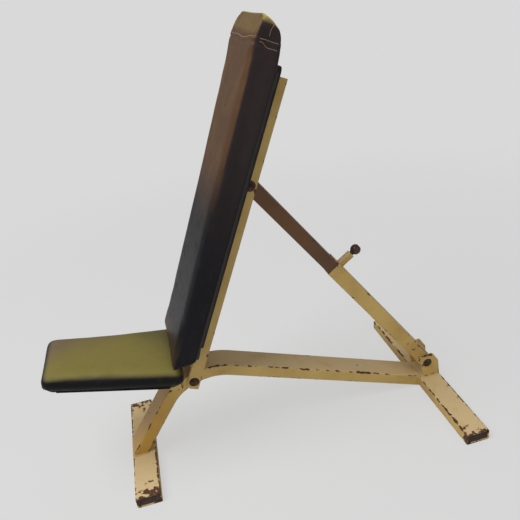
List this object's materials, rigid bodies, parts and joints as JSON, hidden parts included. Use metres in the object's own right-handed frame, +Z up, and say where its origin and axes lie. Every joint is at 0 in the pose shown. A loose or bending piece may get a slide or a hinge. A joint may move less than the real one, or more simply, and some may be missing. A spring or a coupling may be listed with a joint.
{
  "type": "adjustable weight bench",
  "caption": "Adjustable weight bench: a bent-tube frame on two cross feet, a tilting padded back held by a telescopic strut with a spring pin, and a tapered seat.",
  "frame": {"origin": "on the floor under the middle of the front foot, in the bench's plane of symmetry", "axes": "+X from the front foot to the rear foot, +Z up, +Y across, so the seat is over -X and the back leans to +X"},
  "size_m": [1.1705, 0.63, 1.1963],
  "materials": {
    "frame_paint": "cream paint, worn along the edges",
    "strut_paint": "brown paint",
    "hardware": "oiled dark steel",
    "plug": "dark brown end plugs",
    "back_vinyl": "dark brown vinyl, lightly creased",
    "seat_vinyl": "olive vinyl over dark sides, lightly creased",
    "board": "plain plywood",
    "knob": "dark ball knob"
  },
  "bodies": {
    "base_frame": {"main_tube": "frame_paint", "front_foot_tube": "frame_paint", "rear_foot_tube": "frame_paint", "front_foot_plugs": "plug", "rear_foot_plugs": "plug", "strut_clevis_ears": "frame_paint", "lower_bolt": "hardware", "lower_washer": "hardware", "lower_nut": "hardware", "hinge_sleeve": "hardware", "seat_plate": "frame_paint", "seat_side_plates": "frame_paint", "seat_board": "board", "seat_pad": "seat_vinyl", "seat_screws": "hardware"},
    "back_rest": {"back_channel": "frame_paint", "hinge_bolt": "hardware", "hinge_washer": "hardware", "hinge_nut": "hardware", "upper_bolt": "hardware", "upper_washer": "hardware", "upper_nut": "hardware", "back_board": "board", "back_pad": "back_vinyl", "back_screws": "hardware"},
    "strut_inner": {"strut_inner_tube": "strut_paint", "strut_eye_sleeve": "hardware"},
    "strut_outer": {"strut_outer_tube": "frame_paint", "plunger_housing": "frame_paint", "plunger_spring": "hardware"},
    "plunger": {"plunger_pin": "hardware", "plunger_knob": "knob"}
  },
  "joints": [
    {"name": "back_hinge", "type": "hinge", "parent": "base_frame", "child": "back_rest", "pos_m": [0.19201, 0, 0.25281], "axis": [0, 1, 0], "range_deg": [0, 30]},
    {"name": "strut_pivot", "type": "hinge", "parent": "back_rest", "child": "strut_inner", "pos_m": [0.43524, 0, 0.79911], "axis": [0, 1, 0], "range_deg": [-20.86, 0]},
    {"name": "strut_slide", "type": "slide", "parent": "strut_inner", "child": "strut_outer", "axis": [-0.5699, 0, 0.8217], "range_m": [0, 0.2879]},
    {"name": "plunger_pull", "type": "slide", "parent": "strut_outer", "child": "plunger", "axis": [0.8217, 0, 0.5699], "range_m": [0, 0.01], "stiffness_N_per_m": 900, "springref_m": -0.004, "deforming": ["plunger_spring"]}
  ],
  "couplings": [
    {"joint": "strut_pivot", "follows": "back_hinge", "ratio": -0.692},
    {"joint": "strut_slide", "follows": "back_hinge", "m_per_rad": 0.5489}
  ]
}
